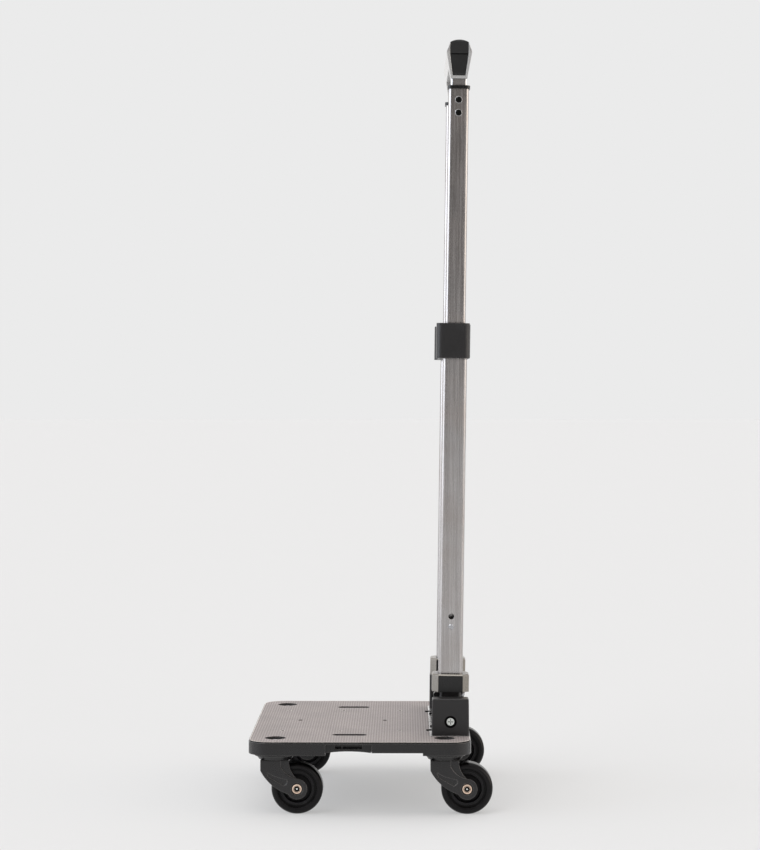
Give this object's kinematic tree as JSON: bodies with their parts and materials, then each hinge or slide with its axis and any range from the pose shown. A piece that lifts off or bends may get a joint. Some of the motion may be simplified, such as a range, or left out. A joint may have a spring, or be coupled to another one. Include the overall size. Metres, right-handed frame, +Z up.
{
  "type": "folding platform cart",
  "caption": "Small platform cart with an anti-slip deck, swivel casters and a folding, telescoping two-post push handle.",
  "frame": {"origin": "on the ground, midway between the front edge of the deck and the back of the rear wheels, on the cart's centre line", "axes": "+X to the handle end, +Y to the pusher's right across the cart, +Z up"},
  "size_m": [0.3076, 0.39, 0.9845],
  "materials": {
    "base_plastic": "matte, finely textured",
    "anti_slip_sheet": "matte, fine weave relief",
    "bright_aluminium": "satin",
    "post_aluminium": "satin anodised, drawn lengthwise",
    "block_plastic": "fine spark texture",
    "collar_metal": "satin",
    "trim_plastic": "semi-gloss",
    "steel": "zinc plated",
    "screw_steel": "bright zinc",
    "black_rivet": "black, semi-gloss",
    "fork_plastic": "matte",
    "tyre_rubber": "matte",
    "hub_plastic": "matte",
    "axle_steel": "yellow passivated",
    "chrome": "polished",
    "silver_plastic": "silver lacquer, satin",
    "grip_plastic": "soft touch",
    "glide_nylon": "natural nylon"
  },
  "bodies": {
    "base": {"deck_base": "base_plastic", "deck_sheet": "anti_slip_sheet", "hinge_base_plate": "bright_aluminium", "plate_screws": "black_rivet", "block_screws": "steel", "caster_race_cups": "fork_plastic", "caster_kingpins": "steel", "hinge_end_block_left": "block_plastic", "hinge_end_block_right": "block_plastic"},
    "mast": {"hinge_crossbar": "block_plastic", "pivot_screws": "screw_steel", "knuckle_studs": "steel", "collar_covers": "trim_plastic", "tube_rivets": "steel", "mid_bracket": "block_plastic", "bracket_back_cover": "block_plastic", "bracket_screws": "black_rivet", "guide_bushes": "glide_nylon", "post_knuckle_left": "block_plastic", "post_knuckle_right": "block_plastic", "post_collar_left": "collar_metal", "post_collar_right": "collar_metal", "outer_tube_left": "post_aluminium", "outer_tube_right": "post_aluminium"},
    "handle": {"neck_rivets": "black_rivet", "grip_lower_shell": "silver_plastic", "grip_upper_shell": "silver_plastic", "grip_top_pad": "grip_plastic", "inner_tube_left": "post_aluminium", "inner_tube_right": "post_aluminium", "tube_glide_left": "glide_nylon", "tube_glide_right": "glide_nylon", "tube_cap_left": "trim_plastic", "tube_cap_right": "trim_plastic", "handle_neck_left": "chrome", "handle_neck_right": "chrome", "grip_end_insert_left": "trim_plastic", "grip_end_insert_right": "trim_plastic"},
    "grip_button": {"grip_button": "trim_plastic"},
    "release_yoke": {"release_yoke": "steel"},
    "fold_tab_left": {"fold_tab_left": "trim_plastic"},
    "lock_pin_left": {"lock_pin_left": "steel"},
    "fold_tab_right": {"fold_tab_right": "trim_plastic"},
    "lock_pin_right": {"lock_pin_right": "steel"},
    "caster_front_left": {"caster_fork_front_left": "fork_plastic", "wheel_axle_front_left": "axle_steel"},
    "wheel_front_left": {"wheel_hub_front_left": "hub_plastic", "wheel_tyre_front_left": "tyre_rubber"},
    "caster_front_right": {"caster_fork_front_right": "fork_plastic", "wheel_axle_front_right": "axle_steel"},
    "wheel_front_right": {"wheel_hub_front_right": "hub_plastic", "wheel_tyre_front_right": "tyre_rubber"},
    "caster_rear_left": {"caster_fork_rear_left": "fork_plastic", "wheel_axle_rear_left": "axle_steel"},
    "wheel_rear_left": {"wheel_hub_rear_left": "hub_plastic", "wheel_tyre_rear_left": "tyre_rubber"},
    "caster_rear_right": {"caster_fork_rear_right": "fork_plastic", "wheel_axle_rear_right": "axle_steel"},
    "wheel_rear_right": {"wheel_hub_rear_right": "hub_plastic", "wheel_tyre_rear_right": "tyre_rubber"}
  },
  "joints": [
    {"name": "mast_fold", "type": "hinge", "parent": "base", "child": "mast", "pos_m": [0.10095, 0, 0.1128], "axis": [0, -1, 0], "range_deg": [0, 80]},
    {"name": "handle_telescope", "type": "slide", "parent": "mast", "child": "handle", "axis": [0.014, 0, 0.9999], "range_m": [-0.262, 0]},
    {"name": "grip_button_press", "type": "slide", "parent": "handle", "child": "grip_button", "axis": [-0.014, 0, -0.9999], "range_m": [0, 0.004], "stiffness_N_per_m": 900, "springref_m": -0.002},
    {"name": "yoke_slide", "type": "slide", "parent": "handle", "child": "release_yoke", "axis": [-0.014, 0, -0.9999], "range_m": [0, 0.004], "stiffness_N_per_m": 300, "springref_m": -0.004},
    {"name": "fold_tab_left_press", "type": "slide", "parent": "mast", "child": "fold_tab_left", "axis": [0.9999, 0, -0.014], "range_m": [0, 0.003], "stiffness_N_per_m": 600, "springref_m": -0.002},
    {"name": "lock_pin_left_draw", "type": "slide", "parent": "handle", "child": "lock_pin_left", "axis": [0, -1, 0], "range_m": [0, 0.002], "stiffness_N_per_m": 300, "springref_m": -0.004},
    {"name": "fold_tab_right_press", "type": "slide", "parent": "mast", "child": "fold_tab_right", "axis": [0.9999, 0, -0.014], "range_m": [0, 0.003], "stiffness_N_per_m": 600, "springref_m": -0.002},
    {"name": "lock_pin_right_draw", "type": "slide", "parent": "handle", "child": "lock_pin_right", "axis": [0, 1, 0], "range_m": [0, 0.002], "stiffness_N_per_m": 300, "springref_m": -0.004},
    {"name": "caster_swivel_front_left", "type": "hinge", "parent": "base", "child": "caster_front_left", "pos_m": [-0.12075, -0.157, 0.07], "axis": [0, 0, 1], "continuous": true},
    {"name": "wheel_spin_front_left", "type": "hinge", "parent": "caster_front_left", "child": "wheel_front_left", "pos_m": [-0.09275, -0.157, 0.0325], "axis": [0, 1, 0], "continuous": true},
    {"name": "caster_swivel_front_right", "type": "hinge", "parent": "base", "child": "caster_front_right", "pos_m": [-0.12075, 0.157, 0.07], "axis": [0, 0, 1], "continuous": true},
    {"name": "wheel_spin_front_right", "type": "hinge", "parent": "caster_front_right", "child": "wheel_front_right", "pos_m": [-0.09275, 0.157, 0.0325], "axis": [0, 1, 0], "continuous": true},
    {"name": "caster_swivel_rear_left", "type": "hinge", "parent": "base", "child": "caster_rear_left", "pos_m": [0.09325, -0.157, 0.07], "axis": [0, 0, 1], "continuous": true},
    {"name": "wheel_spin_rear_left", "type": "hinge", "parent": "caster_rear_left", "child": "wheel_rear_left", "pos_m": [0.12125, -0.157, 0.0325], "axis": [0, 1, 0], "continuous": true},
    {"name": "caster_swivel_rear_right", "type": "hinge", "parent": "base", "child": "caster_rear_right", "pos_m": [0.09325, 0.157, 0.07], "axis": [0, 0, 1], "continuous": true},
    {"name": "wheel_spin_rear_right", "type": "hinge", "parent": "caster_rear_right", "child": "wheel_rear_right", "pos_m": [0.12125, 0.157, 0.0325], "axis": [0, 1, 0], "continuous": true}
  ],
  "couplings": [
    {"joint": "yoke_slide", "follows": "grip_button_press", "ratio": 1},
    {"joint": "lock_pin_left_draw", "follows": "grip_button_press", "ratio": 0.5},
    {"joint": "lock_pin_right_draw", "follows": "grip_button_press", "ratio": 0.5}
  ]
}
